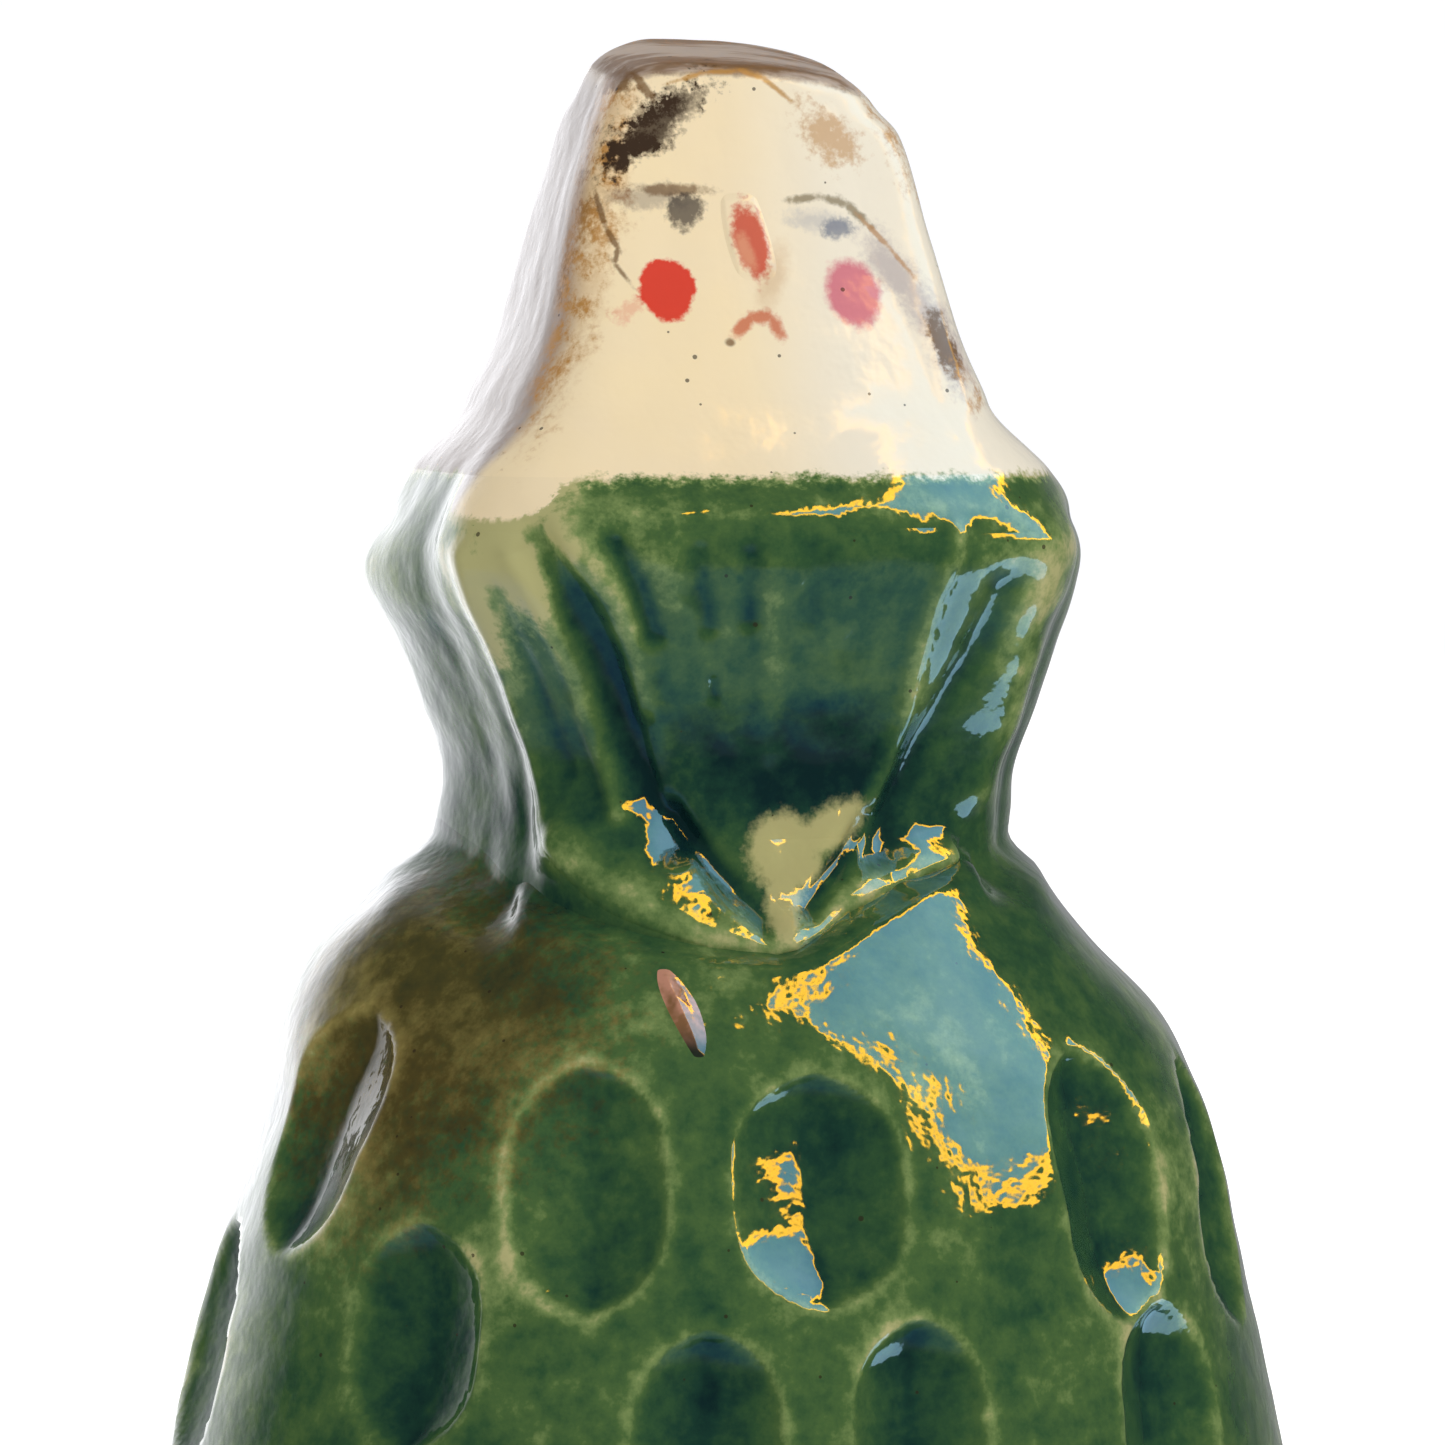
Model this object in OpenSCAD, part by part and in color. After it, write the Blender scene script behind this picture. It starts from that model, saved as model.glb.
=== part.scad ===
// Glazed ceramic figurine of a hooded figure in a carved robe, hand built and hollow.
// Every piece is one piece of clay as the maker joins it, before the firing fuses them.
// The origin is at the middle of the underside, +Z is up and the face looks along -Y.

/* [Figure] */
// Height from the table to the flat crown
total_h = 90; // [76:1:104]
// Width of the robe at its foot
base_w = 56; // [50:1:64]
// Depth of the robe at its foot, front to back
base_d = 48; // [43:1:55]

/* [Clay] */
// Thickness of the robe's wall
robe_wall = 4; // [3.5:0.5:4.5]
// Thickness of the hood's and the head's walls
head_wall = 3; // [2.5:0.5:3.5]
// Thickness of the slab that closes the foot
slab_t = 4; // [3:0.5:5]
// Thickness of the coil worked into each inside corner
coil_t = 2.2; // [1.5:0.1:2.6]

/* [Neck] */
// Outside radius of the clay tube in the neck
neck_r = 6.6; // [6:0.1:7]
// Radius of the tube's bore, the air way between robe and head
neck_bore_r = 3.6; // [3:0.1:4]
// Depth of the seat that the tube has in the robe's shoulders
neck_seat = 5; // [4:0.5:6]

/* [Foot] */
// Radius of the firing vent in the slab
vent_r = 4; // [2.5:0.5:6]
// Bevel round the slab's underside
foot_bevel = 0.8; // [0.4:0.1:1.2]
// Height of the step that keys the slab into the robe
key_h = 1.5; // [1:0.1:2]

/* [Carving] */
// Depth of each scooped hollow
scoop_depth = 1.3; // [0.6:0.1:1.6]
// Width of each scooped hollow
scoop_w = 7; // [5:0.1:8]
// Height of each scooped hollow
scoop_h = 11; // [8:0.1:12]
// Hollows in each row that goes right round
scoops_round = 9; // [7:1:10]

/* [Scarf] */
// Thickness of the scarf's two bands
band_t = 1.3; // [0.9:0.1:1.6]
// Thickness of the pleated bib
bib_t = 1; // [0.8:0.1:1.3]
// Depth of the bib's pleats
pleat_depth = 0.35; // [0.1:0.05:0.5]
// Pleats across the bib
pleats = 5; // [3:1:7]

/* [Hidden] */

// Points round each ring of clay, and the height between rings
ring_n = 84;
ring_step = 1.7;
// Room for slip between two pieces that are keyed or pressed together
slip = 0.06;
// Thickness at the edge of a piece pressed on the front
pad_edge = 0.25;
// Seams between the pieces, as shares of the height
robe_top = 0.60 * total_h;
hood_top = 0.79 * total_h;

// Outside of the whole figure. Each row holds a height as a share of total_h, the half width as a
// share of base_w / 2, the front and the back depth as shares of base_d / 2, and how square the
// plan is: 2 is an ellipse, and more is squarer.
OUTSIDE = [
    [0.000, 0.975, 0.965, 0.965, 2.5],
    [0.045, 1.000, 1.000, 1.000, 2.5],
    [0.110, 0.985, 0.990, 0.990, 2.5],
    [0.200, 0.932, 0.945, 0.945, 2.5],
    [0.300, 0.868, 0.885, 0.885, 2.5],
    [0.430, 0.775, 0.800, 0.790, 2.5],
    [0.490, 0.722, 0.730, 0.710, 2.5],
    [0.550, 0.600, 0.580, 0.600, 2.4],
    [0.600, 0.460, 0.400, 0.490, 2.4],
    [0.635, 0.443, 0.365, 0.480, 2.4],
    [0.670, 0.485, 0.410, 0.520, 2.4],
    [0.710, 0.530, 0.480, 0.560, 2.4],
    [0.745, 0.568, 0.545, 0.600, 2.5],
    [0.785, 0.510, 0.535, 0.575, 3.0],
    [0.820, 0.420, 0.450, 0.500, 3.8],
    [0.880, 0.345, 0.355, 0.410, 4.5],
    [0.940, 0.280, 0.275, 0.325, 4.5],
    [0.985, 0.225, 0.215, 0.255, 4.5],
    [1.000, 0.190, 0.180, 0.215, 4.5]
];

function column(c) = [for (row = OUTSIDE) [row[0], row[c]]];
WIDTHS = column(1);
FRONTS = column(2);
BACKS = column(3);
SQUARES = column(4);

function half_width(z) = lookup(z / total_h, WIDTHS) * base_w / 2;
function front_depth(z) = lookup(z / total_h, FRONTS) * base_d / 2;
function back_depth(z) = lookup(z / total_h, BACKS) * base_d / 2;
function squareness(z) = lookup(z / total_h, SQUARES);

// Distance from the axis to the outside in the direction turn, with the plan drawn in by inset
function reach(turn, z, inset = 0) =
    let (
        a = half_width(z) - inset,
        b = (sin(turn) < 0 ? front_depth(z) : back_depth(z)) - inset,
        n = squareness(z)
    )
    pow(pow(abs(cos(turn)) / a, n) + pow(abs(sin(turn)) / b, n), -1 / n);

// Scooped hollows: direction, height as a share of total_h, and lean in degrees. Those in front
// were placed one by one, and the others follow in rows round the sides and the back.
FRONT_SCOOPS = [
    [201, 0.470, -6], [242, 0.453, 8], [273, 0.450, 0], [317, 0.442, 0], [343, 0.430, -6],
    [182, 0.355, 8], [223, 0.380, 4], [257, 0.332, 2], [284, 0.333, -2], [322, 0.328, -5]
];
BACK_SCOOPS = [
    for (i = [0:3]) [21 + i * 42, 0.45, 0],
    for (i = [0:3]) [3 + i * 42, 0.335, 0]
];
LOW_SCOOPS = [for (i = [0:scoops_round - 1]) [250 + i * 360 / scoops_round, 0.165, 0]];
SCOOPS = concat(FRONT_SCOOPS, BACK_SCOOPS, LOW_SCOOPS);

// Angle between two directions, from -180 to 180
function between(a, b) = let (d = (a - b + 540) % 360) (d < 0 ? d + 360 : d) - 180;

// How deep one hollow is at a point of the wall
function scooped(turn, z, scoop) =
    let (
        along = between(turn, scoop[0]) * PI / 180 * reach(scoop[0], scoop[1] * total_h),
        up = z - scoop[1] * total_h,
        across = along * cos(scoop[2]) + up * sin(scoop[2]),
        rise = up * cos(scoop[2]) - along * sin(scoop[2])
    )
    scoop_depth * max(0, 1 - pow(2 * across / scoop_w, 2) - pow(2 * rise / scoop_h, 2));

function carved(turn, z) =
    reach(turn, z) - max([for (scoop = SCOOPS) abs(between(turn, scoop[0])) < 40
        ? scooped(turn, z, scoop) : 0]);

// Rings of points: each is a list of ring_n points at one height
function outline(z, inset = 0) =
    [for (i = [0:ring_n - 1]) let (t = i * 360 / ring_n, r = reach(t, z, inset))
        [r * cos(t), r * sin(t), z]];
function carved_outline(z) =
    [for (i = [0:ring_n - 1]) let (t = i * 360 / ring_n, r = carved(t, z))
        [r * cos(t), r * sin(t), z]];
function round_ring(r, z) =
    [for (i = [0:ring_n - 1]) let (t = i * 360 / ring_n) [r * cos(t), r * sin(t), z]];

// Heights from low to high in equal steps near ring_step, both ends included
function heights(low, high, step = ring_step) =
    let (n = ceil((high - low) / step)) [for (i = [0:n]) low + (high - low) * i / n];
function backwards(list) = [for (i = [len(list) - 1:-1:0]) list[i]];

// Skin through rings, bottom to top. A closed loop of rings makes a sleeve, and an open row of
// rings is capped at both ends.
module skin(rings, loop = false) {
    n = len(rings[0]);
    m = len(rings);
    sides = [
        for (j = [0:(loop ? m - 1 : m - 2)]) for (i = [0:n - 1])
            let (a = j * n + i, b = j * n + (i + 1) % n,
                 c = ((j + 1) % m) * n + (i + 1) % n, d = ((j + 1) % m) * n + i)
            each [[a, d, c], [a, c, b]]
    ];
    caps = loop ? [] : [[for (i = [0:n - 1]) i], [for (i = [n - 1:-1:0]) (m - 1) * n + i]];
    polyhedron(points = [for (ring = rings) each ring], faces = concat(sides, caps));
}

// Flat foot of the figure, keyed up into the robe and pierced by the firing vent
module base_slab() {
    color("tan")
    difference() {
        skin([
            outline(0, foot_bevel),
            outline(foot_bevel),
            outline(slab_t),
            outline(slab_t, robe_wall + slip),
            outline(slab_t + key_h, robe_wall + slip + 0.3)
        ]);
        translate([0, 0, -1])
            cylinder(r = vent_r, h = slab_t + key_h + 2, $fn = 48);
    }
}

// Soft coil pressed into an inside corner: a low ring of triangular section against the wall
module corner_coil(z, inset, size) {
    color("tan")
    skin([
        outline(z, inset),
        outline(z + size, inset),
        outline(z, inset + size)
    ], loop = true);
}

module base_coil() {
    corner_coil(slab_t + key_h + slip, robe_wall + 1, coil_t);
}

// Robe: one hollow wall from the slab to the shoulders, carved with scooped hollows
module robe_shell() {
    shoulder = robe_top - neck_seat;
    inner_top = shoulder - 3;
    color("darkgreen")
    skin(concat(
        [for (z = heights(slab_t, robe_top)) carved_outline(z)],
        [round_ring(neck_r + slip, robe_top), round_ring(neck_r + slip, shoulder)],
        [for (z = backwards(heights(slab_t, inner_top, 6))) outline(z, robe_wall)]
    ), loop = true);
}

// Tube of clay in the neck, which carries the hood and lets air through
module neck_tube() {
    color("tan")
    difference() {
        translate([0, 0, robe_top - neck_seat])
            cylinder(r = neck_r, h = neck_seat + head_wall + 1.5, $fn = 64);
        translate([0, 0, robe_top - neck_seat - 1])
            cylinder(r = neck_bore_r, h = neck_seat + head_wall + 4, $fn = 64);
    }
}

// Coil worked round the tube on the hood's floor
module neck_coil() {
    floor_z = robe_top + head_wall + slip;
    color("tan")
    rotate_extrude($fn = 64)
        polygon([
            [neck_r + slip, floor_z],
            [neck_r + slip + 1.2, floor_z],
            [neck_r + slip, floor_z + 1.2]
        ]);
}

// Hood: the wide shell below the face, open at the top for the head
module hood_shell() {
    floor_z = robe_top + head_wall;
    color("darkgreen")
    skin(concat(
        [for (z = heights(robe_top, hood_top)) outline(z)],
        [for (z = backwards(heights(floor_z, hood_top, 4))) outline(z, head_wall)],
        [round_ring(neck_r + slip, floor_z), round_ring(neck_r + slip, robe_top)]
    ), loop = true);
}

// Coil inside the hood, under the rim that the head's key goes into
module head_coil() {
    corner_coil(hood_top - 5, head_wall + 0.6, 1.3);
}

// Head: a hollow block with a flat crown, keyed down into the hood
module head_block() {
    key_z = hood_top - key_h;
    roof_z = total_h - head_wall;
    color("wheat")
    skin(concat(
        [for (z = backwards(heights(key_z, roof_z, 4)))
            outline(z, z < hood_top ? head_wall * 2 : head_wall)],
        [outline(key_z, head_wall + slip), outline(hood_top, head_wall + slip)],
        [for (z = heights(hood_top, total_h - 1)) outline(z)],
        [outline(total_h)]
    ));
}

// Point on the clay in the direction side, in degrees from the middle of the front towards +X,
// standing proud of the clay by lift
function on_clay(side, z, lift) =
    let (turn = 270 + side, r = reach(turn, z, -lift)) [r * cos(turn), r * sin(turn), z];

// One row of a piece pressed on the front: out along its face and back along the clay. A row
// holds a height as a share of total_h, then the directions of the piece's two edges.
function pad_row(row, columns, thick, folds, fold_depth) = concat(
    [for (i = [0:columns])
        let (
            side = row[1] + (row[2] - row[1]) * i / columns,
            edge = min(1, 4 * i / columns, 4 * (columns - i) / columns),
            fold = fold_depth * (0.5 - 0.5 * cos(360 * folds * i / columns))
        )
        on_clay(side, row[0] * total_h, slip + pad_edge + (thick - pad_edge - fold) * edge)],
    [for (i = [columns:-1:0])
        on_clay(row[1] + (row[2] - row[1]) * i / columns, row[0] * total_h, slip)]
);

// Each pair of rows with others between them, so that a pad follows the clay under it
function filled(rows, steps) = [
    for (j = [0:len(rows) - 2]) for (k = [0:steps - 1])
        rows[j] + (rows[j + 1] - rows[j]) * k / steps,
    rows[len(rows) - 1]
];

module front_pad(rows, thick, columns = 10, steps = 3, folds = 0, fold_depth = 0) {
    skin([for (row = filled(rows, steps)) pad_row(row, columns, thick, folds, fold_depth)]);
}

module nose() {
    color("indianred")
    front_pad([[0.874, -7, 2], [0.886, -10, 5], [0.901, -9, 3], [0.920, -8, 1]], 0.8, 4, 1);
}

// Pleated cloth under the chin, wide at the top and narrow at the throat
module bib() {
    color("darkgreen")
    front_pad([
        [0.640, -28, 36], [0.670, -33, 36], [0.710, -39, 36], [0.740, -43, 36], [0.752, -40, 34]
    ], bib_t, pleats * 4, 2, pleats, pleat_depth);
}

// Bare triangle of chest that shows between the scarf's two bands
module chest_tab() {
    color("wheat")
    front_pad([
        [0.563, 0, 7], [0.585, -7, 18], [0.610, -13, 28], [0.634, -20, 33]
    ], 0.6, 8, 2);
}

// Scarf's bands: they come down from the corners of the jaw and meet on the chest
module scarf_band_left() {
    color("forestgreen")
    front_pad([
        [0.545, -15, -2], [0.560, -28, -3], [0.585, -42, -11], [0.610, -53, -22],
        [0.640, -61, -32], [0.670, -65, -37], [0.710, -68, -43], [0.745, -69, -47],
        [0.775, -66, -52]
    ], band_t);
}

module scarf_band_right() {
    color("forestgreen")
    front_pad([
        [0.548, 0, 9], [0.565, 9, 30], [0.585, 22, 50], [0.610, 33, 63], [0.640, 39, 69],
        [0.670, 40, 71], [0.710, 40, 71], [0.745, 40, 70], [0.770, 46, 66]
    ], band_t);
}

// Short end of the scarf that hangs below the left band
module scarf_tail() {
    color("darkseagreen")
    front_pad([[0.505, -18, -15], [0.520, -23, -13], [0.538, -25, -16]], 1.1, 8, 2);
}

base_slab();
base_coil();
robe_shell();
neck_tube();
neck_coil();
hood_shell();
head_coil();
head_block();
nose();
bib();
chest_tab();
scarf_band_left();
scarf_band_right();
scarf_tail();
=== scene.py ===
import bmesh
import bpy
import math
import numpy as np
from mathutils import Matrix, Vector


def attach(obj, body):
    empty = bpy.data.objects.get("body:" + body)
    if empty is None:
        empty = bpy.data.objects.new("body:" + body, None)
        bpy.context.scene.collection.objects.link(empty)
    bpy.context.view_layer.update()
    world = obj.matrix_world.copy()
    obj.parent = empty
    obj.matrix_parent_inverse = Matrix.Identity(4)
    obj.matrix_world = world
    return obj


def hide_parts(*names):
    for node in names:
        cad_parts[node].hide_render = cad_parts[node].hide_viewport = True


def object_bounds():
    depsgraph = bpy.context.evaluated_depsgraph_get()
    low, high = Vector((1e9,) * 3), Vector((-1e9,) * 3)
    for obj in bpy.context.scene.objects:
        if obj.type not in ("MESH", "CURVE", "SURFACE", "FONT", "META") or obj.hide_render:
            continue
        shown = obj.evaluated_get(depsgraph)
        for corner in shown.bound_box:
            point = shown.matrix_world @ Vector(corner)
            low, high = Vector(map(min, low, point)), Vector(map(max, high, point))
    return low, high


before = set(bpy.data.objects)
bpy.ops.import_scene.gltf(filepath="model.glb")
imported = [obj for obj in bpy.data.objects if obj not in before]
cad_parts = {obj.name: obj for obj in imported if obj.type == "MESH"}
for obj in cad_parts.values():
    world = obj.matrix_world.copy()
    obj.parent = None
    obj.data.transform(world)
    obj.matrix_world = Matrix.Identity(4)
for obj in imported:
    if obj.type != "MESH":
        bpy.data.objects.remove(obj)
cad_low, cad_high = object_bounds()

MM = 0.001
FOOT_Z = cad_low.z
HEIGHT = cad_high.z - cad_low.z

# Camera: a long lens, close to the figure's eye level and a little to the left of its face.
# The frame cuts off the lowest third of the robe.
VIEW_SIDE = -11.0
VIEW_RISE = 3.5
VIEW_DISTANCE = 3.9 * HEIGHT
VIEW_HEIGHT = 0.662 * HEIGHT
FRAME_WIDTH = 0.722 * HEIGHT
SENSOR_WIDTH = 36.0


def direction_out(side, rise):
    """Away from the figure: side in degrees from the middle of the front, rise above level"""
    side, rise = math.radians(side), math.radians(rise)
    return Vector((math.sin(side) * math.cos(rise), -math.cos(side) * math.cos(rise), math.sin(rise)))


view_out = direction_out(VIEW_SIDE, VIEW_RISE)
view_middle = Vector((0.0, 0.0, FOOT_Z + VIEW_HEIGHT))
camera_data = bpy.data.cameras.new("camera")
camera_data.sensor_width = SENSOR_WIDTH
camera_data.lens = SENSOR_WIDTH * VIEW_DISTANCE / FRAME_WIDTH
camera_data.clip_start = 0.01
camera_data.clip_end = 10.0
camera = bpy.data.objects.new("camera", camera_data)
camera.location = view_middle + view_out * VIEW_DISTANCE
camera.rotation_mode = "QUATERNION"
camera.rotation_quaternion = (-view_out).to_track_quat("-Z", "Y")
bpy.context.scene.collection.objects.link(camera)
bpy.context.scene.camera = camera
bpy.context.scene.view_settings.view_transform = "Standard"


# Floor: a wide sheet of white card, lit until it is almost as white as the backdrop.
# The glaze mirrors the tent below it instead.
class Nodes:
    """Short way to lay out the nodes of one material, or of the world"""

    def __init__(self, tree):
        self.tree = tree

    def node(self, kind, inputs=None, **settings):
        node = self.tree.nodes.new(kind)
        for key, value in settings.items():
            setattr(node, key, value)
        for key, value in (inputs or {}).items():
            self.feed(node.inputs[key], value)
        return node

    def feed(self, socket, value):
        if isinstance(value, bpy.types.NodeSocket):
            self.tree.links.new(value, socket)
        else:
            socket.default_value = value

    def math(self, operation, first, second=0.0, clamp=False):
        node = self.node("ShaderNodeMath", {0: first, 1: second}, operation=operation, use_clamp=clamp)
        return node.outputs[0]

    def sum(self, first, *more):
        """first plus each (value, weight) pair"""
        for value, weight in more:
            first = self.math("ADD", first, self.math("MULTIPLY", value, weight))
        return first

    def mix(self, share, first, second):
        """From one colour to another"""
        return self.node("ShaderNodeMix", {0: share, 6: first, 7: second}, data_type="RGBA").outputs[2]

    def ease(self, value, low, high, to_low=0.0, to_high=1.0, course="SMOOTHSTEP"):
        """to_low below low, to_high above high and smooth between"""
        return self.node("ShaderNodeMapRange", {"Value": value, "From Min": low, "From Max": high,
                                                "To Min": to_low, "To Max": to_high},
                         interpolation_type=course).outputs[0]

    def ramp(self, value, stops):
        node = self.node("ShaderNodeValToRGB", {0: value})
        elements = node.color_ramp.elements
        while len(elements) < len(stops):
            elements.new(0.5)
        for element, (position, colour) in zip(elements, stops):
            element.position = position
            element.color = (*colour, 1.0)
        return node.outputs[0]


def set_up(name, cut):
    """Object from a worked mesh, set up in the scene"""
    mesh = bpy.data.meshes.new(name)
    cut.to_mesh(mesh)
    cut.free()
    thing = bpy.data.objects.new(name, mesh)
    bpy.context.scene.collection.objects.link(thing)
    return thing


CARD_RADIUS = 1.2
CARD_GLOW = 0.16
CARD_GLOW_SEEN = 0.85
card = bmesh.new()
bmesh.ops.create_circle(card, cap_ends=True, segments=64, radius=CARD_RADIUS)
bmesh.ops.translate(card, verts=card.verts, vec=(0.0, 0.0, FOOT_Z))
floor = set_up("floor", card)
card_white = bpy.data.materials.new("white_card")
card_white.use_nodes = True
card_nodes = Nodes(card_white.node_tree)
card_shader = card_white.node_tree.nodes["Principled BSDF"]
card_shader.inputs["Base Color"].default_value = (0.92, 0.92, 0.91, 1.0)
card_shader.inputs["Roughness"].default_value = 0.9
card_shader.inputs["Specular IOR Level"].default_value = 0.1
card_seen = card_nodes.node("ShaderNodeLightPath").outputs["Is Camera Ray"]
card_nodes.feed(card_shader.inputs["Emission Strength"],
                card_nodes.ease(card_seen, 0.0, 1.0, CARD_GLOW, CARD_GLOW_SEEN, "LINEAR"))
floor.data.materials.append(card_white)
floor.visible_glossy = False

# Surroundings: a white tent, open in front. The glaze mirrors its bright back at the figure's
# edges, less at the right, and the dim room in front in its middle. From below it mirrors blue.
TENT_SEEN = 1.05
TENT_MIRRORED = 2.4
BELOW_MIRRORED = 0.55
ROOM_MIRRORED = 0.03
TENT_LIGHT = 0.03
ROOM_LIGHT = 0.37
world = bpy.data.worlds.new("tent")
bpy.context.scene.world = world
world.use_nodes = True
world.node_tree.nodes.clear()
tent = Nodes(world.node_tree)
direction = tent.node("ShaderNodeSeparateXYZ", {0: tent.node("ShaderNodeTexCoord").outputs["Generated"]})
# 0 from the open front round to both sides, and 1 at the middle of the back
towards_back = tent.ease(direction.outputs["Y"], 0.30, 0.98)
overhead = tent.ease(direction.outputs["Z"], 0.22, 0.60, 1.0, 0.25)
underfoot = tent.ease(direction.outputs["Z"], -0.70, -0.10, 0.35, 1.0)
right_side = tent.ease(direction.outputs["X"], 0.02, 0.24, 1.0, 0.14)
below = tent.ease(direction.outputs["Z"], -0.70, -0.38, 1.0, 0.0)
fading = tent.math("MULTIPLY", tent.math("MULTIPLY", overhead, underfoot), right_side)
bright = tent.math("MULTIPLY", towards_back, fading)
mirrored = tent.sum(ROOM_MIRRORED, (bright, TENT_MIRRORED), (below, BELOW_MIRRORED))
lit = tent.sum(ROOM_LIGHT, (towards_back, TENT_LIGHT))
rays = tent.node("ShaderNodeLightPath").outputs
by_ray = tent.node("ShaderNodeMix", {"Factor": rays["Is Glossy Ray"], "A": lit, "B": mirrored},
                   data_type="FLOAT").outputs[0]
strength = tent.node("ShaderNodeMix", {"Factor": rays["Is Camera Ray"], "A": by_ray, "B": TENT_SEEN},
                     data_type="FLOAT").outputs[0]
tint = tent.mix(tent.math("MULTIPLY", below, rays["Is Glossy Ray"]),
                (0.96, 0.965, 1.0, 1.0), (0.16, 0.40, 1.0, 1.0))
tent_light = tent.node("ShaderNodeBackground", {"Color": tint, "Strength": strength})
tent.node("ShaderNodeOutputWorld", {"Surface": tent_light.outputs[0]})


# Lamps: a broad soft key in front for the painted face, a fill from the right and one behind. High
# on the right hangs a softbox, whose cool panel and warm rim show as bright patches in the glaze.
def aim(thing, place, target):
    thing.location = place
    thing.rotation_mode = "QUATERNION"
    thing.rotation_quaternion = (target - place).to_track_quat("-Z", "Y")


def soft_lamp(name, side, rise, distance, size, power, colour):
    data = bpy.data.lights.new(name, "AREA")
    data.shape = "DISK"
    data.size = size
    data.energy = power
    data.color = colour
    lamp = bpy.data.objects.new(name, data)
    aim(lamp, view_middle + direction_out(side, rise) * distance, view_middle)
    lamp.visible_glossy = False
    bpy.context.scene.collection.objects.link(lamp)


def mirrored_only(thing):
    """Leave a thing to show in the glaze alone"""
    thing.visible_camera = False
    thing.visible_diffuse = False
    thing.visible_shadow = False
    thing.visible_transmission = False


soft_lamp("key_front", -6, 40, 0.55, 0.35, 1.0, (1.0, 0.985, 0.96))
soft_lamp("fill_right", 55, 30, 0.55, 0.35, 0.7, (0.97, 0.985, 1.0))
soft_lamp("back_light", 180, 60, 0.6, 0.5, 0.9, (1.0, 1.0, 1.0))
SOFTBOX_SIDE = 67.0
SOFTBOX_RISE = 41.0
SOFTBOX_DISTANCE = 0.6
SOFTBOX_SIZE = (0.48, 0.56)
PANEL_MIDDLE, PANEL_EDGE, PANEL_RIM = (0.26, 0.50, 0.66), (0.16, 0.38, 0.52), (1.0, 0.50, 0.02)
PANEL_GLOW = 10.0
RIM_GLOW = 24.0
softbox_cut = bmesh.new()
bmesh.ops.create_grid(softbox_cut, x_segments=1, y_segments=1, size=0.5)
bmesh.ops.scale(softbox_cut, verts=softbox_cut.verts, vec=(SOFTBOX_SIZE[0], SOFTBOX_SIZE[1], 1.0))
softbox = set_up("softbox", softbox_cut)
aim(softbox, view_middle + direction_out(SOFTBOX_SIDE, SOFTBOX_RISE) * SOFTBOX_DISTANCE, view_middle)
mirrored_only(softbox)
panel_material = bpy.data.materials.new("softbox_panel")
panel_material.use_nodes = True
panel_material.node_tree.nodes.clear()
panel = Nodes(panel_material.node_tree)
panel_place = panel.node("ShaderNodeSeparateXYZ", {0: panel.node("ShaderNodeTexCoord").outputs["Object"]})
rim_x = panel.math("DIVIDE", panel.math("ABSOLUTE", panel_place.outputs["X"]), SOFTBOX_SIZE[0] / 2)
rim_y = panel.math("DIVIDE", panel.math("ABSOLUTE", panel_place.outputs["Y"]), SOFTBOX_SIZE[1] / 2)
rim = panel.math("MAXIMUM", rim_x, rim_y)
panel_light = panel.node("ShaderNodeEmission", {
    "Color": panel.ramp(rim, ((0.0, PANEL_MIDDLE), (0.84, PANEL_EDGE), (0.88, PANEL_RIM))),
    "Strength": panel.ease(rim, 0.86, 0.89, PANEL_GLOW, RIM_GLOW, "LINEAR")})
panel.node("ShaderNodeOutputMaterial", {"Surface": panel_light.outputs[0]})
softbox.data.materials.append(panel_material)

# A glowing disc on the card, seen only in the glaze, is a painted pool of light where the softbox would
# light the card; the underside of the scarf mirrors it as a pale blue pool.
POOL_PLACE = (0.080, -0.020, FOOT_Z + 0.0005)
POOL_RADIUS = 0.030
POOL_GLOW = 5.0
pool_cut = bmesh.new()
bmesh.ops.create_circle(pool_cut, cap_ends=True, segments=48, radius=POOL_RADIUS)
bmesh.ops.translate(pool_cut, verts=pool_cut.verts, vec=POOL_PLACE)
painted_light_pool = set_up("painted_light_pool", pool_cut)
mirrored_only(painted_light_pool)
pool_blue = bpy.data.materials.new("painted_light_pool")
pool_blue.use_nodes = True
pool_shader = pool_blue.node_tree.nodes["Principled BSDF"]
pool_shader.inputs["Base Color"].default_value = (0.0, 0.0, 0.0, 1.0)
pool_shader.inputs["Emission Color"].default_value = (0.36, 0.66, 0.92, 1.0)
pool_shader.inputs["Emission Strength"].default_value = POOL_GLOW
painted_light_pool.data.materials.append(pool_blue)


# Clay walls: every wall starts as a plain sleeve of coils, and is then pressed to its section.
# The section is a set of flats. Each flat has a direction, in degrees from the middle of the
# front towards +X, and its distance from the axis in millimetres at a few heights.
def smooth_lookup(z, rows, column):
    heights = np.array([row[0] for row in rows])
    values = np.array([row[column] for row in rows])
    slopes = np.gradient(values, heights)
    i = np.clip(np.searchsorted(heights, z) - 1, 0, len(heights) - 2)
    span = heights[i + 1] - heights[i]
    t = np.clip((z - heights[i]) / span, 0.0, 1.0)
    h00 = 2 * t ** 3 - 3 * t ** 2 + 1
    h10 = t ** 3 - 2 * t ** 2 + t
    h01 = -2 * t ** 3 + 3 * t ** 2
    h11 = t ** 3 - t ** 2
    return h00 * values[i] + h10 * span * slopes[i] + h01 * values[i + 1] + h11 * span * slopes[i + 1]


def away(side, other):
    """Degrees from one direction to another, from -180 to 180"""
    return (side - other + 180.0) % 360.0 - 180.0


def ease(value, low, high):
    """0 below low, 1 above high and smooth between"""
    t = np.clip((value - low) / (high - low), 0.0, 1.0)
    return t * t * (3.0 - 2.0 * t)


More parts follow.
